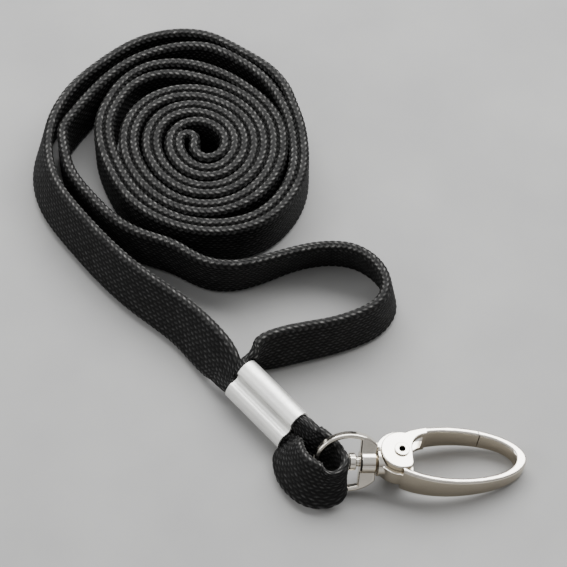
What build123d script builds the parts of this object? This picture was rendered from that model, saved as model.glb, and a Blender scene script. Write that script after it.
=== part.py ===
"""Lanyard: flat braided strap rolled on edge, crimp ferrule, swivel eye and snap hook (mm, +Z up).

The pieces are built about the centre of the rolled strap, on the plane that everything rests on, and
moved at the end so that the origin is the middle of the whole part's base.
"""
import os
from math import cos, radians, sin

from build123d import *

# ---------------------------------------------------------------- driving dimensions
# Strap
STRAP_WIDTH = 10.0
STRAP_THICK = 1.72
PAIR_STEP = 1.82            # distance between the centrelines of two strands that touch

# Coil: the doubled strap winds clockwise towards the middle. "Wind" is the angle wound in degrees
# from the coil's left side, so that the polar angle is 180 - wind.
BODY_START = 540            # wind at which the tight, regular turns begin
BODY_RADIUS = 17.2          # outer radius of the doubled strap there
BODY_PITCH = 4.03           # radius lost per turn
BODY_SHIFT = 1.45            # the tight turns lie slightly off the origin ...
BODY_SHIFT_DIR = 190
BODY_OVAL = 0.75            # ... and are slightly oval ...
BODY_OVAL_DIR = 129
BODY_CORNER = 0.3          # ... with three blunt corners
BODY_CORNER_DIR = 27
BODY_EASE = 1.0             # how soon those shapes fade towards the middle
PARTED_WIND = 440           # the two strands part a little round here ...
PARTED = 1.1                # ... by this much ...
PARTED_REACH = 45           # ... over this many degrees to each side
FOLD_WIND = 1450            # wind at which the inner strand meets the fold
FOLD_PINCH = 0.4            # the last half turn of the outer strand draws in by this much
FOLD_REACH = 0.25
WIND_STEP = 10

# Centreline radius of the loosely wound outer turns: (wind, radius)
OUTER_TURNS = [
    (30, 29.1), (45, 28.3), (60, 28.5), (75, 28.1), (90, 26.6), (105, 23.8), (120, 22.2), (135, 20.8),
    (150, 19.2), (165, 18.6), (180, 18.6), (210, 20.0), (240, 21.1), (270, 20.3), (300, 19.3),
    (330, 18.7), (345, 18.9), (360, 19.8), (375, 20.9), (390, 21.5), (405, 22.1), (420, 21.9),
    (435, 20.4), (450, 18.5), (465, 16.8), (480, 15.7), (495, 15.2), (510, 15.0), (525, 14.9),
]
# The inner strand of the pair where it stands clear of the outer one: (wind, radius)
INNER_TURNS = [(16, 26.9), (30, 25.3), (60, 24.9), (90, 23.7), (105, 21.6), (120, 19.9), (135, 18.4)]

# Ferrule: two lobes with a groove between them, closed round both strands
FERRULE_MID = Vector(11.85, -55.35, 4.6)
FERRULE_LENGTH = 14.6
FERRULE_HEADING = -49.4     # degrees from +X, in plan
FERRULE_ROLL = 45           # the lobe on the far side is up
FERRULE_WIDTH = 8.4
LOBE_RADIUS = 2.2
SHEET = 0.4
GROOVE_DEPTH = 0.9
GROOVE_RADIUS = 1.15
LIP_ROUND = 0.5
CRIMP_WIDTH = 2.8           # each strand is bunched to this section in a lobe of its own
CRIMP_THICK = 1.9
MOUTH = 0.8                 # just outside the ferrule it is this far on the way to full width
MOUTH_WIDTH = 3.8
MOUTH_THICK = 1.9

# Stations of the loose strap. Lean is the angle of the strap's width from vertical, to the left of
# the way along, read from the coil towards the ferrule. Where it rests on its edge: (x, y, lean)
OUTER_RUN = [
    (-29.3, 7.9, 9), (-31.0, -0.7, 17), (-29.1, -9.2, 19), (-23.7, -17.6, 20), (-17.9, -24.7, 22),
    (-12.3, -30.4, 24), (-3.9, -37.4, 28), (1.6, -43.8, 32),
]
INNER_RUN = [
    (-25.7, 6.9, 0), (-27.1, 3.8, 0), (-26.9, 0.0, 0), (-25.0, -6.7, 0), (-21.6, -11.8, 0), (-17.2, -17.0, 0),
    (-11.9, -20.7, 0), (-5.6, -23.3, 0), (0.2, -26.8, -3), (5.8, -27.5, -6), (11.6, -25.9, -10),
    (17.0, -23.8, -14), (22.9, -22.6, -15), (27.8, -23.2, -14), (31.6, -25.8, -12), (33.7, -29.2, -10),
    (34.2, -32.6, -8), (32.6, -36.1, -5), (28.6, -38.9, -5), (23.9, -40.8, -6), (19.1, -42.1, -9),
    (14.3, -43.4, -10), (10.5, -44.8, 0),
]
OUTER_TURN_IN = (4.3, -47.6, 4.05, 40, 7.8, 1.7)    # the bends into the ferrule
INNER_TURN_IN = (8.3, -46.6, 5.3, 20, 8.2, 1.6)
# Full stations: (x, y, z, lean, width, thickness), where x, y, z is the middle of the section.
# The hitch loop, from the ferrule round the swivel eye and back:
HITCH = [
    (15.7, -64.4, 4.0, 37, 7.6, 1.7), (15.9, -67.1, 4.6, 31, 9.4, 1.75), (17.2, -69.8, 4.95, 27, 9.9, 1.75),
    (19.8, -72.0, 5.0, 26, 9.9, 1.75), (22.7, -72.5, 5.0, 22, 9.0, 1.75), (24.9, -71.7, 5.8, 8, 7.0, 1.65),
    (25.3, -69.8, 5.9, -9, 6.9, 1.6), (24.4, -67.9, 5.7, -17, 6.9, 1.6), (23.2, -66.0, 5.1, -21, 6.9, 1.65),
    (21.5, -64.7, 5.1, -24, 8.0, 1.7), (19.6, -63.1, 5.1, -31, 7.6, 1.7),
]
STRAP_END_GAP = 2.0         # the strap's two ends stop this far apart, inside the ferrule
RUN_STEPS = 3               # sections per station on the loose runs

# Snap hook. Its own frame: u runs from the swivel to the tip, v to the far side, w up.
AXIS_POINT = Vector(35.4, -67.2, 4.55)
HOOK_YAW = 4.0
HOOK_DIP = 7.3
PIVOT_V = 0.7               # the gate's rivet stands this far off the swivel axis
EGG_U = 9.0                 # the oval frame: two half ellipses that meet here
EGG_TIP = 13.7
EGG_ROOT = 12.0
EGG_HALF = 5.85
BAND = 1.15
TIP_BAND = 1.9              # the frame is thicker round the tip
EDGE_ROUND = 0.45
HALF_AT_ROOT = 3.0          # half height of the frame, which tapers to the tip
HALF_AT_TIP = 1.5
EAR_RADIUS = 3.7
BASE_RADIUS = 4.4
BASE_HALF = 1.66
FACE_U = 1.9                # straight inner face of the base and the ears
FORK_U = 4.3
NOTCH_RADIUS = 3.1          # hollow between the gate's ears and its arm
NOTCH_V = 1.0
EAR_CORNER = 1.2
EAR_ROUND = 0.25
EAR_RIM = 2.5                # edges further than this from the middle plane are the ears' rims
GATE_REACH = 14.9           # radius of the joint between gate and nose, about the rivet
GAP = 0.12                  # running gap between flat faces
RIVET_RADIUS = 1.0
RIVET_BORE = 0.55
RIVET_FLARE = 1.35
RIVET_HEAD = 0.3
RUNNING = 0.05              # radial running clearance
BOSS_U = -4.15
BOSS_RADIUS = 2.6

# Swivel eye and stud
EYE_U = -9.2
EYE_REACH = 6.3            # half axes of the oval eye: along u ...
EYE_HALF = 5.75             # ... and across it
EYE_WALL = 0.85
EYE_BAND = 1.6
EYE_TILT = 60.0             # the eye's plane, rolled about u from lying flat
BARREL_RADIUS = 2.1
BARREL_LENGTH = 3.0
EYE_ROUND = 0.35
STUD_RADIUS = 0.9
STUD_HEAD_RADIUS = 1.6
STUD_HEAD_LENGTH = 1.25
STUD_HEAD_U = -9.2
STUD_END_U = -2.5

# Gate spring
WIRE = 0.22                 # wire radius
SPRING_RADIUS = 1.6
SPRING_TURNS = 3.0
SPRING_PITCH = 0.6
POCKET_RADIUS = 2.15
POCKET_FLOOR = -0.95


# ---------------------------------------------------------------- strap: centreline
LAST_WIND = FOLD_WIND + 360


def blend(points, x):
    """Smooth cubic through (x, y) points, flat-sloped by neighbours; clamps outside."""
    if x <= points[0][0]:
        return points[0][1]
    if x >= points[-1][0]:
        return points[-1][1]
    k = max(i for i in range(len(points) - 1) if points[i][0] <= x)
    x0, y0 = points[k]
    x1, y1 = points[k + 1]
    xa, ya = points[max(k - 1, 0)]
    xb, yb = points[min(k + 2, len(points) - 1)]
    span = x1 - x0
    m0 = (y1 - ya) / (x1 - xa) * span
    m1 = (yb - y0) / (xb - x0) * span
    t = (x - x0) / span
    return ((2 * t**3 - 3 * t**2 + 1) * y0 + (t**3 - 2 * t**2 + t) * m0
            + (3 * t**2 - 2 * t**3) * y1 + (t**3 - t**2) * m1)


def body_radius(wind):
    """Centreline radius of the outer strand in the tight turns."""
    radius = BODY_RADIUS - BODY_PITCH * (wind - BODY_START) / 360
    angle = 180 - wind
    shape = BODY_SHIFT * cos(radians(angle - BODY_SHIFT_DIR))
    shape += BODY_OVAL * cos(radians(2 * (angle - BODY_OVAL_DIR)))
    shape += BODY_CORNER * cos(radians(3 * (angle - BODY_CORNER_DIR)))
    pinch = FOLD_PINCH * max(0, 1 - (LAST_WIND - wind) / 180)
    return radius + shape * (radius / BODY_RADIUS) ** BODY_EASE - pinch - STRAP_THICK / 2


def beside(wind):
    """Centreline radius of the inner strand where it lies against the outer one."""
    radius = blend(OUTER_ALL, wind)
    slope = (blend(OUTER_ALL, wind + 2) - blend(OUTER_ALL, wind - 2)) / radians(4) / radius
    off = min(abs(wind - PARTED_WIND) / PARTED_REACH, 1)
    return radius - PAIR_STEP * (1 + slope**2) ** 0.5 - PARTED * cos(radians(90 * off)) ** 2


OUTER_ALL = OUTER_TURNS + [(wind, body_radius(wind)) for wind in range(BODY_START, LAST_WIND + 30, 15)]
INNER_ALL = INNER_TURNS + [(wind, beside(wind)) for wind in range(150, FOLD_WIND + 30, 15)]


def polar(radius, wind, height=0.0):
    angle = radians(180 - wind)
    return Vector(radius * cos(angle), radius * sin(angle), height)


def coil_points():
    """Plan points of the coiled strap: in along the outer strand, round the fold, out along the inner."""
    last = LAST_WIND
    inward = [polar(blend(OUTER_ALL, w), w) for w in range(OUTER_TURNS[0][0], last, WIND_STEP)]
    r_out = blend(INNER_ALL, FOLD_WIND)
    r_in = blend(OUTER_ALL, last)
    middle = (r_out + r_in) / 2
    half = (r_out - r_in) / 2
    heading = radians(90 - FOLD_WIND)
    fold = []
    for turn in (-60, -30, 0, 30, 60):
        ahead = Vector(cos(heading), sin(heading)) * (half * cos(radians(turn)) + FOLD_REACH)
        fold.append(polar(middle + half * sin(radians(turn)), FOLD_WIND) + ahead)
    first = FOLD_WIND - FOLD_WIND % WIND_STEP
    outward = [polar(blend(INNER_ALL, w), w) for w in range(first, 29, -WIND_STEP)]
    return inward + fold + outward


# ---------------------------------------------------------------- strap: solid
def ferrule_axes():
    """Unit vectors along the ferrule, across its two lobes to the upper one, and out of its groove."""
    along = Vector(1, 0, 0).rotate(Axis.Z, FERRULE_HEADING)
    left = along.rotate(Axis.Z, 90)
    across = Vector(0, 0, cos(radians(FERRULE_ROLL))) + left * sin(radians(FERRULE_ROLL))
    return along, across, along.cross(across)


def crimped(distance, lobe, width=CRIMP_WIDTH, thick=CRIMP_THICK):
    """Station in the upper (1) or lower (-1) lobe, at a distance along it from the ferrule's middle."""
    along, across, _ = ferrule_axes()
    at = FERRULE_MID + along * distance + across * (lobe * (FERRULE_WIDTH / 2 - LOBE_RADIUS))
    return (at.X, at.Y, at.Z, FERRULE_ROLL, width, thick)


def mouth(end, lobe):
    """Station just outside the ferrule's end, -1 towards the coil and 1 towards the eye."""
    return crimped(end * (FERRULE_LENGTH / 2 + MOUTH), lobe, MOUTH_WIDTH, MOUTH_THICK)


def turned_back(stations):
    """The same stations travelled the other way."""
    return [(x, y, z, -lean, width, thick) for x, y, z, lean, width, thick in reversed(stations)]


def resting(x, y, lean):
    """Station of a strap that stands on its edge on the plane, leaning."""
    height = STRAP_WIDTH / 2 * cos(radians(lean)) + STRAP_THICK / 2 * abs(sin(radians(lean)))
    return (x, y, height, lean, STRAP_WIDTH, STRAP_THICK)


def chain():
    """Every station of the strap in order, each with the number of sections up to the next one."""
    inside = [-7.2, -6.0, -4.0, -STRAP_END_GAP / 2, STRAP_END_GAP / 2, 4.0, 6.0, 7.2]
    outer = [resting(*spot) for spot in OUTER_RUN] + [OUTER_TURN_IN, mouth(-1, -1)]
    outer += [crimped(distance, -1) for distance in inside[:4]]
    inner = [resting(*spot) for spot in INNER_RUN] + [INNER_TURN_IN, mouth(-1, 1)]
    inner += [crimped(distance, 1) for distance in inside] + [mouth(1, 1)]
    hitch = [crimped(distance, -1) for distance in inside[4:]] + [mouth(1, -1)] + HITCH
    loose_in = [(station, RUN_STEPS) for station in turned_back(outer)]
    coil = [(resting(point.X, point.Y, 0), 1) for point in coil_points()]
    loose_out = [(station, RUN_STEPS) for station in inner + turned_back(hitch)]
    return loose_in + coil + loose_out


def section_places(stations, counts):
    """Places of the sections along the strap, as fractions of its length, and the stations' own."""
    places = [0.0]
    for a, b in zip(stations, stations[1:]):
        places.append(places[-1] + (Vector(*b[:3]) - Vector(*a[:3])).length)
    places = [p / places[-1] for p in places]
    cuts = []
    for a, b, count in zip(places, places[1:], counts):
        cuts += [a + (b - a) * k / count for k in range(count)]
    return cuts + [1.0], places


def neck_strap():
    """One strap: in to the coil, round its fold, out again, through the ferrule and round the hitch."""
    stations, counts = zip(*chain())
    centre = Spline(*[Vector(*s[:3]) for s in stations])
    cuts, places = section_places(stations, counts)
    tracks = [[(p, s[i]) for p, s in zip(places, stations)] for i in (3, 4, 5)]
    faces = []
    for t in cuts:
        along = centre % t
        left = Vector(-along.Y, along.X, 0).normalized()
        lean, width, thick = (blend(track, t) for track in tracks)
        up = Vector(0, 0, 1) * cos(radians(lean)) + left * sin(radians(lean))
        plane = Plane(origin=centre @ t, x_dir=up - along * up.dot(along), z_dir=along)
        faces.append(plane * Rectangle(width, thick))
    return loft(faces, ruled=True)


# ---------------------------------------------------------------- ferrule
def ferrule():
    """Thin sleeve of two round lobes, pressed in along the middle of its upper face."""
    reach = FERRULE_WIDTH / 2 - LOBE_RADIUS
    outer = Sketch() + [Pos(reach * side, 0) * Circle(LOBE_RADIUS) for side in (-1, 1)]
    outer += Rectangle(2 * reach, 2 * LOBE_RADIUS)
    groove = Pos(0, LOBE_RADIUS + GROOVE_RADIUS - GROOVE_DEPTH)
    inner = offset(outer, -SHEET) - groove * Circle(GROOVE_RADIUS + SHEET)
    outer -= groove * Circle(GROOVE_RADIUS)
    lips = [v for v in outer.vertices() if abs(v.X) < GROOVE_RADIUS * 1.2 and v.Y > LOBE_RADIUS * 0.9]
    outer = fillet(lips, LIP_ROUND)
    sleeve = extrude(outer - inner, amount=FERRULE_LENGTH / 2, both=True)
    along, across, _ = ferrule_axes()
    return Plane(origin=FERRULE_MID, x_dir=across, z_dir=along) * sleeve


# ---------------------------------------------------------------- snap hook, in its own frame
def hook_plane():
    """Frame of the hook: x along the swivel axis to the tip, z up out of the hook's flat side."""
    yaw = radians(HOOK_YAW)
    dip = radians(HOOK_DIP)
    along = Vector(cos(yaw) * cos(dip), sin(yaw) * cos(dip), -sin(dip))
    upward = Vector(cos(yaw) * sin(dip), sin(yaw) * sin(dip), cos(dip))
    return Plane(origin=AXIS_POINT, x_dir=along, z_dir=upward)


def egg(inset, tip_inset):
    """Flat egg outline: a long half ellipse to the tip and a shorter one to the root."""
    middle = (EGG_U, 0)
    tip = EllipticalCenterArc(middle, EGG_TIP - tip_inset, EGG_HALF - inset, -90, arc_size=180)
    root = EllipticalCenterArc(middle, EGG_ROOT - inset, EGG_HALF - inset, 90, arc_size=180)
    return make_face([tip, root])


def taper(half_root, half_tip):
    """Side profile that limits the frame's height, from the root to the tip."""
    left, knee, right = -8, 2, 24
    profile = Polyline((left, half_root), (knee, half_root), (right, half_tip), (right, -half_tip),
                       (knee, -half_root), (left, -half_root), close=True)
    return extrude(Plane.XZ * make_face(profile), amount=12, both=True)


def band():
    """The closed oval frame before it is parted into body and gate."""
    ring = extrude(egg(0, 0) - egg(BAND, TIP_BAND), amount=6, both=True)
    ring = ring & taper(HALF_AT_ROOT, HALF_AT_TIP)
    edges = [e for e in ring.edges() if abs(e.center().Z) > HALF_AT_TIP * 0.8]
    return fillet(edges, EDGE_ROUND)


def about_pivot(radius, low, high):
    """Cylinder about the gate's rivet."""
    return Pos(0, PIVOT_V, (low + high) / 2) * Cylinder(radius, high - low)


def left_of(face_u):
    """Everything to the swivel's side of a plane across the hook."""
    return Pos(face_u - 15, 0, 0) * Box(30, 30, 30)


def far_side():
    return Pos(15, 15, 0) * Box(60, 30, 30)


def hook_body():
    """Base, near band, round tip and nose in one casting."""
    nose_cut = about_pivot(GATE_REACH + GAP, -8, 8) & far_side()
    ear_room = about_pivot(EAR_RADIUS + GAP, BASE_HALF, 8) + about_pivot(EAR_RADIUS + GAP, -8, -BASE_HALF)
    frame = band() - nose_cut - ear_room - left_of(0)
    base = about_pivot(BASE_RADIUS, -BASE_HALF, BASE_HALF) & left_of(FACE_U)
    root = (extrude(egg(0, 0), amount=BASE_HALF, both=True) & left_of(FACE_U)) - far_side()
    boss = along_axis(BOSS_RADIUS, BOSS_U, BOSS_U + 2.4) - ear_room
    body = frame + base + root + boss - left_of(BOSS_U)
    body -= about_pivot(RIVET_RADIUS + 0.01, -8, 8)
    body -= about_pivot(POCKET_RADIUS, POCKET_FLOOR, 8)
    body -= along_axis(STUD_RADIUS, BOSS_U - 0.1, STUD_END_U)
    return body


def gate_head():
    """Outline of an ear: round the rivet, hollowed where it runs into the arm."""
    notch_u = FACE_U + NOTCH_RADIUS
    disc = Pos(0, PIVOT_V) * Circle(EAR_RADIUS)
    shoulder = egg(0, 0) & Pos(notch_u / 2, 5 + NOTCH_V) * Rectangle(notch_u, 10)
    below = Pos(FACE_U + 5, NOTCH_V - 5) * Rectangle(10, 10)
    head = disc + shoulder - below - Pos(notch_u, NOTCH_V) * Circle(NOTCH_RADIUS)
    corner = head.vertices().filter_by(lambda v: v.Y < 0)
    return fillet(corner, EAR_CORNER)


def gate_lever():
    """Two ears round the base and an arm that closes on the nose."""
    ring = band() & far_side() & about_pivot(GATE_REACH, -8, 8)
    ears = extrude(gate_head(), amount=6, both=True) & taper(HALF_AT_ROOT, HALF_AT_TIP)
    ears = fillet([e for e in ears.edges() if abs(e.center().Z) > EAR_RIM], EAR_ROUND)
    fork = Pos(FORK_U - 15, 0, 0) * Box(30, 30, 2 * (BASE_HALF + GAP))
    return ring + ears - fork - about_pivot(RIVET_RADIUS + RUNNING, -8, 8)


def gate_pivot_rivet():
    """Tubular rivet with a rolled head on each side."""
    reach = HALF_AT_ROOT + GAP / 2
    rivet = about_pivot(RIVET_RADIUS, -reach - RIVET_HEAD, reach + RIVET_HEAD)
    for low in (-reach - RIVET_HEAD, reach):
        rivet += about_pivot(RIVET_FLARE, low, low + RIVET_HEAD)
    rivet -= about_pivot(RIVET_BORE, -8, 8)
    rim = [e for e in rivet.edges() if abs(e.center().Z) > reach + RIVET_HEAD / 2]
    return fillet(rim, 0.12)


def gate_spring():
    """Torsion spring round the rivet, inside the base."""
    height = SPRING_TURNS * SPRING_PITCH
    coil = Helix(SPRING_PITCH, height, SPRING_RADIUS)
    section = Plane(origin=coil @ 0, z_dir=coil % 0) * Circle(WIRE)
    wire = sweep(section, path=coil, is_frenet=True)
    return Pos(0, PIVOT_V, POCKET_FLOOR + WIRE + GAP) * wire


# ---------------------------------------------------------------- swivel
def along_axis(radius, low, high):
    """Cylinder on the swivel axis."""
    return Pos((low + high) / 2, 0, 0) * Rot(0, 90, 0) * Cylinder(radius, high - low)


def swivel_eye():
    """Oval eye with a thick, flat-sided end and a short barrel that the stud runs through."""
    barrel_end = BOSS_U - GAP
    barrel_start = barrel_end - BARREL_LENGTH
    outline = Pos(EYE_U, 0) * Ellipse(EYE_REACH, EYE_HALF) & Pos(barrel_end - 15, 0) * Rectangle(30, 30)
    hole = Pos(EYE_U, 0) * Ellipse(EYE_REACH - EYE_WALL, EYE_HALF - EYE_WALL)
    hole &= Pos(barrel_start - 15, 0) * Rectangle(30, 30)
    ring = extrude(outline - hole, amount=EYE_BAND / 2, both=True)
    rims = [e for e in ring.edges() if abs(e.center().Z) > EYE_BAND * 0.4]
    ring = fillet(rims, EYE_ROUND)
    barrel = along_axis(BARREL_RADIUS, barrel_start, barrel_end)
    barrel = chamfer(barrel.edges().filter_by(GeomType.CIRCLE), EYE_ROUND)
    eye = Rot(EYE_TILT, 0, 0) * ring + barrel
    return eye - along_axis(STUD_RADIUS + RUNNING, barrel_start - 1, barrel_end + 1)


def swivel_stud():
    """Headed stud: its head is inside the ring and its shank is fast in the hook's base."""
    head = along_axis(STUD_HEAD_RADIUS, STUD_HEAD_U, STUD_HEAD_U + STUD_HEAD_LENGTH)
    head = fillet(head.edges().filter_by(GeomType.CIRCLE), 0.25)
    return head + along_axis(STUD_RADIUS, STUD_HEAD_U + 0.5, STUD_END_U)


# ---------------------------------------------------------------- output
def main():
    os.makedirs("parts", exist_ok=True)
    hook = hook_plane()
    nodes = {
        "neck_strap": neck_strap(),
        "ferrule": ferrule(),
        "swivel_eye": hook * swivel_eye(),
        "swivel_stud": hook * swivel_stud(),
        "hook_body": hook * hook_body(),
        "gate_lever": hook * gate_lever(),
        "gate_pivot_rivet": hook * gate_pivot_rivet(),
        "gate_spring": hook * gate_spring(),
    }
    whole = Compound(list(nodes.values())).bounding_box()
    to_base = Pos(-whole.center().X, -whole.center().Y, -whole.min.Z)
    for name, shape in nodes.items():
        export_step(to_base * shape, f"parts/{name}.step")


main()
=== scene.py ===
"""Looks of the rolled lanyard: a braided strap modelled stitch by stitch, and metal finishes.

Lengths are in millimetres, about the centre of the rolled strap, until to_metres() turns them
into the row frame.
"""

from math import cos, pi, radians, sin, tau

import bpy
import numpy as np
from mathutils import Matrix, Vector


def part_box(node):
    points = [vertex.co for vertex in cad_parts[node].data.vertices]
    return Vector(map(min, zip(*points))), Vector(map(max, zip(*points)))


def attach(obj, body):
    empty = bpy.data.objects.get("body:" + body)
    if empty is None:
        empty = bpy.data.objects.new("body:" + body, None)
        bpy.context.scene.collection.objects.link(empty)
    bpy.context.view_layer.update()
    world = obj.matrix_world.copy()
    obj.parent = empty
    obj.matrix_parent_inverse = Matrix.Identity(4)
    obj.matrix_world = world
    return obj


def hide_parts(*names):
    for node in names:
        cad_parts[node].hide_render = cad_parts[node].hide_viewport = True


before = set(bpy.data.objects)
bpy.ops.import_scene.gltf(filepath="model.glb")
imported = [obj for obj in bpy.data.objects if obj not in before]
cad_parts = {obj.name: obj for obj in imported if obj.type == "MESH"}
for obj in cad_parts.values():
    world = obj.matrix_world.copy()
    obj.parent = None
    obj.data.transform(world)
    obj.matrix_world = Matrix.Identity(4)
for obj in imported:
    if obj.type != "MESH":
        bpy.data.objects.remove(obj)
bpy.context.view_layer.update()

MM = 0.001

# ---------------------------------------------------------------- strap: driving dimensions
STRAP_WIDTH = 10.0
STRAP_THICK = 1.72              # of the part's solid
PLUMP = 0.32                    # the stitched strap is this much fuller
HITCH_PLUMP = 0.02              # the same in the hitch loop, where the stud swings past the strap
PAIR_STEP = 1.82                # distance between the middles of two strands that touch

# Coil. "Wind" is the angle wound in degrees from the coil's left side, clockwise.
# The tight turns are a spiral, shifted, oval and a little three-cornered; DIR is degrees from +X.
BODY_START = 540
BODY_RADIUS = 17.2
BODY_PITCH = 4.03
BODY_SHIFT = 1.45
BODY_SHIFT_DIR = 190
BODY_OVAL = 0.75
BODY_OVAL_DIR = 129
BODY_CORNER = 0.3
BODY_CORNER_DIR = 27
PARTED_WIND = 440               # where the two strands part
PARTED = 1.1                    # how far
PARTED_REACH = 45               # over how much wind, on either side
FOLD_WIND = 1450                # where the strap folds back in the middle
FOLD_PINCH = 0.4                # how much closer the last half turn lies
FOLD_REACH = 0.25
LAST_WIND = FOLD_WIND + 360
FOLD_HEADING = 90 - FOLD_WIND
FOLD_TURNS = (-60, -30, 0, 30, 60)
RUN_WIND = 30                   # where the coil ends and the two runs to the ferrule start
PAIR_START = 150                # from here on the inner strand lies beside the outer one
TRACK_STEP = 15                 # between the knots of the tight turns' radii
WIND_STEP = 10                  # between the coil's stations
# Loose turns: (wind, radius of the strand's middle)
OUTER_TURNS = [
    (30, 29.1), (45, 28.3), (60, 28.5), (75, 28.1), (90, 26.6), (105, 23.8), (120, 22.2),
    (135, 20.8), (150, 19.2), (165, 18.6), (180, 18.6), (210, 20.0), (240, 21.1), (270, 20.3),
    (300, 19.3), (330, 18.7), (345, 18.9), (360, 19.8), (375, 20.9), (390, 21.5), (405, 22.1),
    (420, 21.9), (435, 20.4), (450, 18.5), (465, 16.8), (480, 15.7), (495, 15.2), (510, 15.0),
    (525, 14.9),
]
INNER_TURNS = [
    (16, 26.9), (30, 25.3), (60, 24.9), (90, 23.7), (105, 21.6), (120, 19.9), (135, 18.4),
]

# Ferrule and the strands inside it
FERRULE_MID = Vector((11.85, -55.35, 4.6))
FERRULE_LENGTH = 14.6
FERRULE_HEADING = -49.4
FERRULE_ROLL = 45
LOBE_REACH = 2.0                # each lobe's middle, from the ferrule's axis
CRIMP_WIDTH = 3.45
CRIMP_THICK = 3.35
MOUTH = 0.8
MOUTH_WIDTH = 4.0
MOUTH_THICK = 2.6
INSIDE = [-7.2, -6.0, -4.0, -1.0, 1.0, 4.0, 6.0, 7.2]       # stations, from the ferrule's middle

# Stations of the loose strap, as the CAD part's: (x, y, lean) where it rests on its edge
OUTER_RUN = [
    (-29.3, 7.9, 9), (-31.0, -0.7, 17), (-29.1, -9.2, 19), (-23.7, -17.6, 20), (-17.9, -24.7, 22),
    (-12.3, -30.4, 24), (-3.9, -37.4, 28), (1.6, -43.8, 32),
]
INNER_RUN = [
    (-25.7, 6.9, 0), (-27.1, 3.8, 0), (-26.9, 0.0, 0), (-25.0, -6.7, 0), (-21.6, -11.8, 0),
    (-17.2, -17.0, 0), (-11.9, -20.7, 0), (-5.6, -23.3, 0), (0.2, -26.8, -3), (5.8, -27.5, -6),
    (11.6, -25.9, -10), (17.0, -23.8, -14), (22.9, -22.6, -15), (27.8, -23.2, -14),
    (31.6, -25.8, -12), (33.7, -29.2, -10), (34.2, -32.6, -8), (32.6, -36.1, -5),
    (28.6, -38.9, -5), (23.9, -40.8, -6), (19.1, -42.1, -9), (14.3, -43.4, -10), (10.5, -44.8, 0),
]
# Full stations: (x, y, z, lean, width, thickness)
OUTER_TURN_IN = (4.3, -47.6, 4.05, 40, 7.8, 1.8)
INNER_TURN_IN = (8.3, -46.6, 5.3, 20, 8.2, 1.7)
HITCH = [
    (15.7, -64.4, 4.0, 37, 7.6, 1.8), (15.9, -67.1, 4.6, 31, 9.4, 1.75),
    (17.2, -69.8, 4.95, 27, 9.9, 1.75), (19.8, -72.0, 5.0, 26, 9.9, 1.75),
    (22.7, -72.5, 5.0, 22, 9.0, 1.75), (24.9, -71.7, 5.8, 8, 7.0, 1.65),
    (25.3, -69.8, 5.9, -9, 6.9, 1.6), (24.4, -67.9, 5.7, -17, 6.9, 1.6),
    (23.2, -66.0, 5.1, -21, 6.9, 1.65), (21.5, -64.7, 5.1, -24, 8.0, 1.7),
    (19.6, -63.1, 5.1, -31, 7.6, 1.8),
]

# Braid
COLUMNS = 28                    # rows of stitches round the flattened tube
AROUND = 4                      # mesh points per row of stitches
PITCH = 1.2                     # stitch length along the strap
ALONG = 4                       # mesh sections per stitch
YARN = 0.3                      # how far a stitch stands up
MEAN_HEIGHT = 0.45              # the part of it that is inside the strap's nominal surface
SLANT = 0.55                    # how far a stitch leans along the strap, in stitches
STITCH_END = 2.4                # how square a stitch's ends are: 2 is round
STITCH_MIX = (12.9898, 78.233, 43758.5453)      # multipliers that scramble the stitches' numbers
SWAY = 0.12                     # unevenness of the strap's edges: three waves
SWAY_LENGTHS = (7.3, 3.1, 17.9)
SWAY_TURNS = (1.0, 2.7, 5.1)    # their starting angles in radians

# Where the strap is parted into pieces
COIL_PARTS = 4
HIDDEN_JOIN = 40                # sections before the ferrule's far mouth, so this join is inside it
HIDDEN_TAPER = 20               # sections after that join, over which the strap slims for the hitch


# ---------------------------------------------------------------- strap: stations
def catmull(knots, values, at):
    """Smooth cubic through values at knots, with slopes taken from the neighbours."""
    knots = np.asarray(knots, float)
    values = np.asarray(values, float)
    slope = np.gradient(values, knots)
    slope[1:-1] = (values[2:] - values[:-2]) / (knots[2:] - knots[:-2])
    k = np.clip(np.searchsorted(knots, at, side="right") - 1, 0, len(knots) - 2)
    span = knots[k + 1] - knots[k]
    t = np.clip((at - knots[k]) / span, 0, 1)
    return ((2 * t**3 - 3 * t**2 + 1) * values[k] + (t**3 - 2 * t**2 + t) * slope[k] * span
            + (3 * t**2 - 2 * t**3) * values[k + 1] + (t**3 - t**2) * slope[k + 1] * span)


def body_radius(wind):
    """Middle radius of the outer strand in the tight turns."""
    radius = BODY_RADIUS - BODY_PITCH * (wind - BODY_START) / 360
    angle = np.radians(180 - wind)
    shape = BODY_SHIFT * np.cos(angle - radians(BODY_SHIFT_DIR))
    shape += BODY_OVAL * np.cos(2 * (angle - radians(BODY_OVAL_DIR)))
    shape += BODY_CORNER * np.cos(3 * (angle - radians(BODY_CORNER_DIR)))
    pinch = FOLD_PINCH * max(0, 1 - (LAST_WIND - wind) / 180)
    return radius + shape * radius / BODY_RADIUS - pinch - STRAP_THICK / 2


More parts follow.
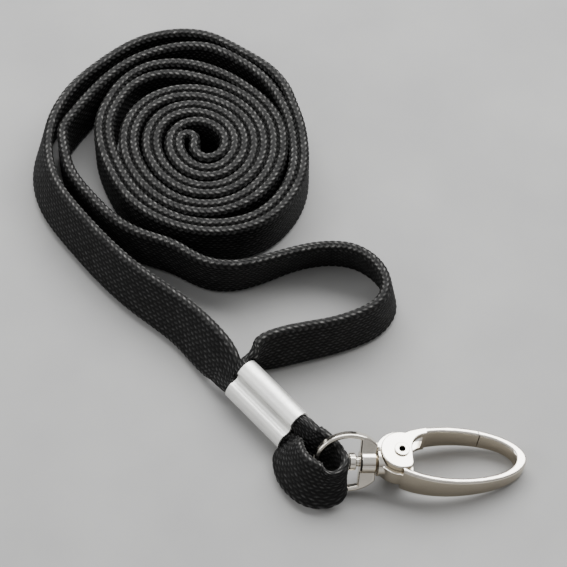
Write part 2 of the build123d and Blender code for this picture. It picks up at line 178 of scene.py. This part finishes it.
def coil_tracks():
    """Radius functions of the outer and the inner strand."""
    past = 2 * TRACK_STEP
    outer = OUTER_TURNS + [(w, float(body_radius(w)))
                           for w in range(BODY_START, LAST_WIND + past, TRACK_STEP)]

    def outer_at(wind):
        return catmull(*zip(*outer), np.asarray(wind, float))

    def inner_at(wind):
        return catmull(*zip(*inner), np.asarray(wind, float))

    def beside(wind):
        """Radius one strand further in, and further still where the two are parted."""
        radius = outer_at(wind)
        slope = (outer_at(wind + 2) - outer_at(wind - 2)) / radians(4) / radius
        off = min(abs(wind - PARTED_WIND) / PARTED_REACH, 1)
        return radius - PAIR_STEP * np.sqrt(1 + slope**2) - PARTED * cos(pi / 2 * off) ** 2

    inner = INNER_TURNS + [(w, float(beside(w)))
                           for w in range(PAIR_START, FOLD_WIND + past, TRACK_STEP)]
    return outer_at, inner_at


def polar(radius, wind):
    """Plan point at a radius from the coil's centre."""
    angle = radians(180 - wind)
    return Vector((radius * cos(angle), radius * sin(angle), 0))


def coil_points():
    """Plan points of the coil: in along the outer strand, round the fold, out along the inner."""
    outer_at, inner_at = coil_tracks()
    inward = [polar(outer_at(w), w) for w in range(RUN_WIND, LAST_WIND, WIND_STEP)]
    r_out = float(inner_at(FOLD_WIND))
    r_in = float(outer_at(LAST_WIND))
    middle = (r_out + r_in) / 2
    half = (r_out - r_in) / 2
    heading = radians(FOLD_HEADING)
    fold = []
    for turn in FOLD_TURNS:
        ahead = Vector((cos(heading), sin(heading), 0)) * (half * cos(radians(turn)) + FOLD_REACH)
        fold.append(polar(middle + half * sin(radians(turn)), FOLD_WIND) + ahead)
    first = FOLD_WIND - FOLD_WIND % WIND_STEP
    outward = [polar(inner_at(w), w) for w in range(first, RUN_WIND - 1, -WIND_STEP)]
    return inward + fold + outward


def ferrule_axes():
    """Unit vectors along the ferrule, and across its lobes to the upper one."""
    heading = radians(FERRULE_HEADING)
    along = Vector((cos(heading), sin(heading), 0))
    left = Vector((-along.y, along.x, 0))
    across = Vector((0, 0, cos(radians(FERRULE_ROLL)))) + left * sin(radians(FERRULE_ROLL))
    return along, across


def crimped(distance, lobe, width=CRIMP_WIDTH, thick=CRIMP_THICK):
    """Station in the upper (1) or lower (-1) lobe, at a distance from the ferrule's middle."""
    along, across = ferrule_axes()
    at = FERRULE_MID + along * distance + across * (lobe * LOBE_REACH)
    return (at.x, at.y, at.z, FERRULE_ROLL, width, thick)


def mouth(end, lobe):
    """Station just outside a lobe, at the ferrule's near (-1) or far (1) end."""
    return crimped(end * (FERRULE_LENGTH / 2 + MOUTH), lobe, MOUTH_WIDTH, MOUTH_THICK)


def turned_back(stations):
    """The same stations travelled the other way."""
    return [(x, y, z, -lean, width, thick) for x, y, z, lean, width, thick in reversed(stations)]


def resting(x, y, lean):
    """Station of a strap that stands on its edge on the floor, leaning."""
    height = STRAP_WIDTH / 2 * cos(radians(lean)) + STRAP_THICK / 2 * abs(sin(radians(lean)))
    return (x, y, height, lean, STRAP_WIDTH, STRAP_THICK)


def chain():
    """Every station of the strap, and the numbers of those that start coil, inner run and hitch."""
    half = len(INSIDE) // 2
    outer = [resting(*spot) for spot in OUTER_RUN] + [OUTER_TURN_IN, mouth(-1, -1)]
    outer += [crimped(distance, -1) for distance in INSIDE[:half]]
    inner = [resting(*spot) for spot in INNER_RUN] + [INNER_TURN_IN, mouth(-1, 1)]
    inner += [crimped(distance, 1) for distance in INSIDE] + [mouth(1, 1)]
    hitch = [crimped(distance, -1) for distance in INSIDE[half:]] + [mouth(1, -1)] + HITCH
    coil = [resting(p.x, p.y, 0) for p in coil_points()]
    start = turned_back(outer)
    cuts = [len(start), len(start) + len(coil), len(start) + len(coil) + len(inner)]
    return start + coil + inner + turned_back(hitch), cuts


# ---------------------------------------------------------------- strap: mesh
def smooth_curve(points):
    """Twice-smooth curve through points: returns knots and a function of the distance along."""
    points = np.asarray(points, float)
    knots = np.concatenate([[0], np.cumsum(np.linalg.norm(np.diff(points, axis=0), axis=1))])
    h = np.diff(knots)
    n = len(points)
    system = np.zeros((n, n))
    right = np.zeros((n, 3))
    system[0, 0] = system[-1, -1] = 1
    for i in range(1, n - 1):
        system[i, i - 1:i + 2] = h[i - 1], 2 * (h[i - 1] + h[i]), h[i]
        right[i] = 6 * ((points[i + 1] - points[i]) / h[i] - (points[i] - points[i - 1]) / h[i - 1])
    bend = np.linalg.solve(system, right)

    def at(s):
        k = np.clip(np.searchsorted(knots, s, side="right") - 1, 0, n - 2)
        a = ((knots[k + 1] - s) / h[k])[:, None]
        b = 1 - a
        hk = h[k][:, None]
        return (a * points[k] + b * points[k + 1]
                + ((a**3 - a) * bend[k] + (b**3 - b) * bend[k + 1]) * hk**2 / 6)

    return knots, at


def unit(v):
    """Vectors scaled to length 1."""
    return v / np.linalg.norm(v, axis=-1, keepdims=True)


def stitch_value(column, number):
    """A steady pseudo-random value from 0 to 1 for each stitch."""
    by_column, by_number, spread = STITCH_MIX
    value = np.sin(column * by_column + number * by_number) * spread
    return value - np.floor(value)


def braid(s, q):
    """Height from 0 to 1, and value, of the stitch at a distance s along and q rows round."""
    column = np.floor(q)
    across = 2 * (q - column) - 1
    lean = np.where(column % 2 == 0, 1, -1)
    phase = s / PITCH + SLANT * lean * across / 2 + 0.5 * (column % 2)
    number = np.floor(phase)
    along = 2 * (phase - number) - 1
    ends = np.sqrt(np.clip(1 - np.abs(along)**STITCH_END, 0, 1))
    dome = np.sqrt(np.clip(1 - across**2, 0, 1)) * ends
    return dome, stitch_value(column % COLUMNS, number)


def outline(q, width, thick):
    """Point and outward direction on a flat tube's section, q rows round from its top's middle."""
    radius = thick / 2
    flat = width - thick
    total = 2 * flat + tau * radius
    d = (q / COLUMNS * total) % total
    quarter = pi * radius / 2
    ends = [quarter, quarter + flat, quarter + flat + 2 * quarter, quarter + 2 * flat + 2 * quarter]
    spans = [d < end for end in ends]
    turn = np.select(spans, [d / radius, pi / 2, pi / 2 + (d - ends[1]) / radius, 3 * pi / 2],
                     3 * pi / 2 + (d - ends[3]) / radius)
    slide = np.select(spans, [flat / 2, flat / 2 - (d - ends[0]), -flat / 2,
                              -flat / 2 + (d - ends[2])], flat / 2)
    up, out = np.cos(turn), np.sin(turn)
    return slide + radius * up, radius * out, up, out


def strap_sections():
    """Distances, middles, frames and sizes of the sections, and which start coil, run and hitch."""
    stations, cuts = chain()
    stations = np.array(stations)
    knots, at = smooth_curve(stations[:, :3])
    count = int(knots[-1] / PITCH * ALONG)
    s = np.linspace(0, knots[-1], count + 1)
    middle = at(s)
    along = unit(np.gradient(middle, axis=0))
    left = unit(np.stack([-along[:, 1], along[:, 0], 0 * s], axis=1))
    lean, width, thick = (catmull(knots, stations[:, i], s) for i in (3, 4, 5))
    lean = np.radians(lean)[:, None]
    up = np.array([[0, 0, 1.0]]) * np.cos(lean) + left * np.sin(lean)
    up = unit(up - along * np.sum(up * along, axis=1, keepdims=True))
    side = np.cross(along, up)
    marks = [int(np.searchsorted(s, knots[c])) for c in cuts]
    return s, middle, up, side, width, thick, marks


def sway(s):
    """Slow, small unevenness along the strap."""
    waves = [np.sin(s / length + turn) for length, turn in zip(SWAY_LENGTHS, SWAY_TURNS)]
    return SWAY * sum(waves) / len(waves)


def strap_surface(sections):
    """Grid of the whole strap, section by section: points, normals and what its material needs."""
    s, middle, up, side, width, thick, marks = sections
    q = (np.arange(COLUMNS * AROUND) + 0.5) / AROUND
    s_grid, q_grid = np.meshgrid(s, q, indexing="ij")
    join = marks[2] - HIDDEN_JOIN
    plump = np.interp(np.arange(len(s)), [join, join + HIDDEN_TAPER], [PLUMP, HITCH_PLUMP])
    core = (thick + plump - YARN)[:, None] + 0 * q_grid
    x, y, nx, ny = outline(q_grid, (width - YARN)[:, None] + 0 * q_grid, core)
    height, value = braid(s_grid, q_grid)
    lift = YARN * (height - MEAN_HEIGHT)
    x = x + nx * lift + sway(s_grid)
    y = y + ny * lift
    points = middle[:, None, :] + x[..., None] * up[:, None, :] + y[..., None] * side[:, None, :]
    round_way = np.roll(points, -1, axis=1) - np.roll(points, 1, axis=1)
    normals = unit(np.cross(np.gradient(points, axis=0), round_way))
    outward = nx[..., None] * up[:, None, :] + ny[..., None] * side[:, None, :]
    normals *= np.sign(np.sum(normals * outward, axis=-1, keepdims=True))
    yarn = {"yarn_height": height, "yarn_value": value, "yarn_edge": np.abs(nx)}
    return points, normals, yarn


def strap_piece(name, surface, first, last):
    """Closed mesh of the strap between two of its sections."""
    points, normals, yarn = surface
    points = points[first:last + 1]
    normals = normals[first:last + 1]
    rows, ring = points.shape[:2]
    index = np.arange(rows * ring).reshape(rows, ring)
    a = index[:-1]
    b = index[1:]
    faces = np.stack([a, np.roll(a, -1, 1), np.roll(b, -1, 1), b], axis=-1).reshape(-1, 4)
    caps = [index[0][::-1].tolist(), index[-1].tolist()]
    mesh = bpy.data.meshes.new(name)
    mesh.from_pydata(to_metres(points.reshape(-1, 3)), [], faces.tolist() + caps)
    for label, data in yarn.items():
        layer = mesh.attributes.new(label, "FLOAT", "POINT")
        layer.data.foreach_set("value", data[first:last + 1].reshape(-1).astype(np.float32))
    mesh.shade_smooth()
    mesh.normals_split_custom_set_from_vertices(normals.reshape(-1, 3).tolist())
    piece = bpy.data.objects.new(name, mesh)
    bpy.context.scene.collection.objects.link(piece)
    mesh.materials.append(MATERIALS["strap"])
    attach(piece, "strap")
    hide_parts("neck_strap")


def to_metres(points):
    """From millimetres about the coil's centre to the row frame in metres."""
    return (np.asarray(points) + ROW_SHIFT) * MM


def row_shift():
    """Where the coil's centre is in the row frame, worked out from the ferrule."""
    low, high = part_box("ferrule")
    return np.array((low + high) / 2 / MM) - np.array(FERRULE_MID)


def build_strap():
    """The strap in seven pieces: the outer run, four of the coil, the inner run and the hitch."""
    sections = strap_sections()
    surface = strap_surface(sections)
    start, end, hitch = sections[-1]
    join = hitch - HIDDEN_JOIN
    strap_piece("strap_outer_run", surface, 0, start)
    step = (end - start) / COIL_PARTS
    for k in range(COIL_PARTS):
        first, last = int(start + k * step), int(start + (k + 1) * step)
        strap_piece(f"strap_coil_{k + 1}", surface, first, last)
    strap_piece("strap_inner_run", surface, end, join)
    strap_piece("strap_hitch", surface, join, len(sections[0]) - 1)


# ---------------------------------------------------------------- materials
# Lengths here are in metres, and scales in noise cells per metre
FIBRE_SCALE = 5200
FIBRE_DEPTH = 0.0001
CLOUD_SCALE = 160
SCRATCH_SCALE = 2600
SCRATCH_DEPTH = 0.00005
MOTTLE_SCALE = 40
EDGE_RADIUS = 0.00012
PAINTED_GROOVE_SHADE = (0.3, 0.85, 0.0016)           # lowest value, openness, reach of the painted shade in grooves and corners: see the painted groove shade function below
FERRULE_PAINTED_GROOVE_SHADE = (0.12, 0.97, 0.003)    # deeper painted shade, for the ferrule's groove


def new_material(name):
    """An empty node material: returns it, its nodes, its links and its principled shader."""
    material = bpy.data.materials.new(name)
    material.use_nodes = True
    nodes = material.node_tree.nodes
    return material, nodes, material.node_tree.links, nodes["Principled BSDF"]


def noise(nodes, links, scale, detail):
    """Noise over the object's own metres."""
    place = nodes.new("ShaderNodeTexCoord")
    texture = nodes.new("ShaderNodeTexNoise")
    texture.inputs["Scale"].default_value = scale
    texture.inputs["Detail"].default_value = detail
    links.new(place.outputs["Object"], texture.inputs["Vector"])
    return texture.outputs["Fac"]


def grey(value):
    return (value, value, value)


def ramp(nodes, links, source, stops):
    """Colour ramp: stops are (position, colour)."""
    node = nodes.new("ShaderNodeValToRGB")
    elements = node.color_ramp.elements
    while len(elements) < len(stops):
        elements.new(0.5)
    for element, (position, colour) in zip(elements, stops):
        element.position = position
        element.color = (*colour, 1)
    links.new(source, node.inputs["Fac"])
    return node.outputs["Color"]


def to_range(nodes, links, source, low, high):
    """A value from 0 to 1 moved to the range low to high."""
    node = nodes.new("ShaderNodeMapRange")
    node.inputs["To Min"].default_value = low
    node.inputs["To Max"].default_value = high
    links.new(source, node.inputs["Value"])
    return node.outputs["Result"]


def attribute(nodes, name):
    """One of the values that the strap's mesh carries."""
    node = nodes.new("ShaderNodeAttribute")
    node.attribute_name = name
    return node.outputs["Fac"]


def mixed(nodes, links, factor, a, b, mode="MIX"):
    """Two colours blended; each input is a socket or a plain value."""
    node = nodes.new("ShaderNodeMix")
    node.data_type = "RGBA"
    node.blend_type = mode
    for name, value in (("Factor", factor), ("A", a), ("B", b)):
        socket = node.inputs[name]
        if isinstance(value, bpy.types.NodeSocket):
            links.new(value, socket)
        else:
            socket.default_value = value
    return node.outputs["Result"]


def bumped(nodes, links, shader, source, strength, distance):
    """Bump from a height, led to the shader's normal."""
    node = nodes.new("ShaderNodeBump")
    node.inputs["Strength"].default_value = strength
    node.inputs["Distance"].default_value = distance
    links.new(source, node.inputs["Height"])
    links.new(node.outputs["Normal"], shader.inputs["Normal"])
    return node


def braid_material():
    """Black polyester yarn, with painted shade in the valleys between stitches and a painted
    highlight where it wraps round the strap's edges.
    """
    material, nodes, links, shader = new_material("black_braid")
    height = attribute(nodes, "yarn_height")
    # Painted shade in the valleys between stitches, and a painted highlight on the stitches round
    # the strap's edges
    face_yarn_with_valley_shade = ramp(nodes, links, height, [(0.45, grey(0.001)), (0.8, grey(0.006)), (1.0, grey(0.04))])
    edge_yarn_with_highlight = ramp(nodes, links, height,
                [(0.45, grey(0.002)), (0.8, (0.022, 0.022, 0.021)), (1.0, (0.11, 0.108, 0.105))])
    painted_highlight_mask = ramp(nodes, links, attribute(nodes, "yarn_edge"), [(0.25, grey(0)), (0.85, grey(1))])
    yarn_with_painted_light = mixed(nodes, links, painted_highlight_mask, face_yarn_with_valley_shade, edge_yarn_with_highlight)
    value = to_range(nodes, links, attribute(nodes, "yarn_value"), 0.35, 1.5)
    shade = mixed(nodes, links, 1.0, yarn_with_painted_light, value, "MULTIPLY")
    fibres = noise(nodes, links, FIBRE_SCALE, 3)
    tone = ramp(nodes, links, fibres, [(0.3, grey(0.55)), (0.7, grey(1.5))])
    links.new(mixed(nodes, links, 1.0, shade, tone, "MULTIPLY"), shader.inputs["Base Color"])
    shader.inputs["Roughness"].default_value = 0.6
    shader.inputs["Specular IOR Level"].default_value = 0.2
    bumped(nodes, links, shader, fibres, 0.5, FIBRE_DEPTH)
    return material


def soft_edges(nodes, links, bump):
    """Rounds the sharp edges of a metal piece a little in its shading, under its bump."""
    node = nodes.new("ShaderNodeBevel")
    node.samples = 6
    node.inputs["Radius"].default_value = EDGE_RADIUS
    links.new(node.outputs["Normal"], bump.inputs["Normal"])


def paint_groove_shade(nodes, links, low, open_from, reach):
    """Painted shade: grey that darkens to a low value in grooves and corners, within a reach in
    metres.

    It is white where at least open_from of the view round a point is open.
    """
    node = nodes.new("ShaderNodeAmbientOcclusion")
    node.samples = 8
    node.only_local = True
    node.inputs["Distance"].default_value = reach
    return ramp(nodes, links, node.outputs["AO"], [(0.3, grey(low)), (open_from, grey(1))])


def metal_material(name, light, dark, roughness, grain, painted_wall_shade=None, groove_shade_values=PAINTED_GROOVE_SHADE):
    """Metal with cloudy tone and fine scratches, and painted shade in its grooves.

    It takes the painted wall shade, where one is given, on upright faces, for the darker
    surroundings they reflect.
    """
    material, nodes, links, shader = new_material(name)
    cloud = noise(nodes, links, CLOUD_SCALE, 3)
    tone = ramp(nodes, links, cloud, [(0.3, dark), (0.62, light)])
    # Upright faces take a painted wall shade, for the darker surroundings they reflect
    if painted_wall_shade:
        place = nodes.new("ShaderNodeTexCoord")
        split = nodes.new("ShaderNodeSeparateXYZ")
        links.new(place.outputs["Normal"], split.inputs["Vector"])
        lit_top_factor = ramp(nodes, links, split.outputs["Z"], [(0.15, grey(0)), (0.6, grey(1))])
        tone = mixed(nodes, links, lit_top_factor, (*painted_wall_shade, 1), tone)
    # Painted shade in grooves and corners, multiplied into the tone
    tone = mixed(nodes, links, 1.0, tone, paint_groove_shade(nodes, links, *groove_shade_values), "MULTIPLY")
    links.new(tone, shader.inputs["Base Color"])
    scratches = noise(nodes, links, SCRATCH_SCALE, 5)
    worn = to_range(nodes, links, scratches, roughness * 0.7, roughness * 1.4)
    links.new(worn, shader.inputs["Roughness"])
    shader.inputs["Metallic"].default_value = 1.0
    bump = bumped(nodes, links, shader, scratches, grain, SCRATCH_DEPTH)
    soft_edges(nodes, links, bump)
    return material


def make_materials():
    """One finish for each slot, and one for the floor."""
    return {
        "strap": braid_material(),
        # The ferrule's groove takes a deeper painted shade
        "ferrule": metal_material("satin_ferrule", light=(0.95, 0.95, 0.92),
                                  dark=(0.88, 0.88, 0.86), roughness=0.48, grain=0.25,
                                  groove_shade_values=FERRULE_PAINTED_GROOVE_SHADE),
        # The hardware's upright faces take a painted wall shade
        "hardware": metal_material("polished_nickel", light=(0.95, 0.91, 0.83),
                                   dark=(0.84, 0.79, 0.71), roughness=0.15, grain=0.07,
                                   painted_wall_shade=(0.54, 0.48, 0.38)),
        "spring": metal_material("spring_wire", light=grey(0.55), dark=grey(0.42), roughness=0.3,
                                 grain=0.2),
        "stage": stage_material(),
    }


def stage_material():
    """Pale, matt, faintly mottled board."""
    material, nodes, links, shader = new_material("pale_floor")
    mottle = noise(nodes, links, MOTTLE_SCALE, 6)
    tones = [(0.3, grey(0.31)), (0.7, (0.36, 0.36, 0.355))]
    links.new(ramp(nodes, links, mottle, tones), shader.inputs["Base Color"])
    shader.inputs["Roughness"].default_value = 0.85
    return material


# ---------------------------------------------------------------- carried-over metal pieces
SHARP_ANGLE = 35                # degrees between faces from which an edge is sharp


def dress_metal():
    """Finishes for the CAD's metal pieces."""
    finishes = {"ferrule": "ferrule", "gate_spring": "spring"}
    for name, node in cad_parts.items():
        if name == "neck_strap":
            continue
        node.data.materials.clear()
        node.data.materials.append(MATERIALS[finishes.get(name, "hardware")])
        node.data.shade_smooth()
        node.data.set_sharp_from_angle(angle=radians(SHARP_ANGLE))


# ---------------------------------------------------------------- stage
FLOOR_HALF = 1.5
PLAIN_SKY = (0.6, 0.6, 0.6, 1)
# Sky from the horizon up: (height, colour)
SKY_BANDS = [(0.0, (0.12, 0.11, 0.10)), (0.1, grey(0.85)), (0.22, (0.10, 0.09, 0.08)),
             (0.75, grey(0.60))]


def add_area(name, place, size, power):
    """Rectangular light in metres and watts, aimed at the frame's origin."""
    data = bpy.data.lights.new(name, "AREA")
    data.shape = "RECTANGLE"
    data.size, data.size_y = size
    data.energy = power
    light = bpy.data.objects.new(name, data)
    light.location = place
    light.rotation_mode = "QUATERNION"
    light.rotation_quaternion = (-Vector(place)).to_track_quat("-Z", "Y")
    bpy.context.scene.collection.objects.link(light)


def build_stage():
    """The floor, two soft lights and the sky."""
    mesh = bpy.data.meshes.new("floor")
    turns = [(-1, -1), (1, -1), (1, 1), (-1, 1)]
    mesh.from_pydata([(x * FLOOR_HALF, y * FLOOR_HALF, 0) for x, y in turns], [], [(0, 1, 2, 3)])
    mesh.materials.append(MATERIALS["stage"])
    floor = bpy.data.objects.new("floor", mesh)
    bpy.context.scene.collection.objects.link(floor)
    add_area("sky_panel", (0.1, 0.34, 0.48), (1.0, 0.45), 11.0)
    add_area("left_panel", (-0.5, -0.1, 0.4), (0.3, 0.3), 1.2)
    build_sky()


def build_sky():
    """Banded sky, for the metal to reflect; the camera itself sees it plain and pale."""
    world = bpy.data.worlds.new("studio")
    bpy.context.scene.world = world
    world.use_nodes = True
    nodes = world.node_tree.nodes
    links = world.node_tree.links
    place = nodes.new("ShaderNodeTexCoord")
    split = nodes.new("ShaderNodeSeparateXYZ")
    links.new(place.outputs["Generated"], split.inputs["Vector"])
    sky = ramp(nodes, links, split.outputs["Z"], SKY_BANDS)
    seen = nodes.new("ShaderNodeLightPath").outputs["Is Camera Ray"]
    links.new(mixed(nodes, links, seen, sky, PLAIN_SKY), nodes["Background"].inputs["Color"])


# ---------------------------------------------------------------- camera
CAMERA_AIM = (14.861, -25.861, 0.0)     # on the floor, in millimetres
CAMERA_DISTANCE = 0.5                   # in metres
CAMERA_ELEVATION = 55.5
CAMERA_LENS = 169.8
CAMERA_CLIP = 0.01


def build_camera():
    """The photo's view: along +Y and down on the part."""
    data = bpy.data.cameras.new("photo_view")
    data.lens = CAMERA_LENS
    data.clip_start = CAMERA_CLIP
    camera = bpy.data.objects.new("photo_view", data)
    tilt = radians(CAMERA_ELEVATION)
    away = Vector((0, -cos(tilt), sin(tilt))) * CAMERA_DISTANCE
    camera.location = Vector(to_metres(CAMERA_AIM)) + away
    camera.rotation_euler = (pi / 2 - tilt, 0, 0)
    bpy.context.scene.collection.objects.link(camera)
    bpy.context.scene.camera = camera


# ---------------------------------------------------------------- build
ROW_SHIFT = row_shift()
MATERIALS = make_materials()
build_strap()
dress_metal()
build_stage()
build_camera()
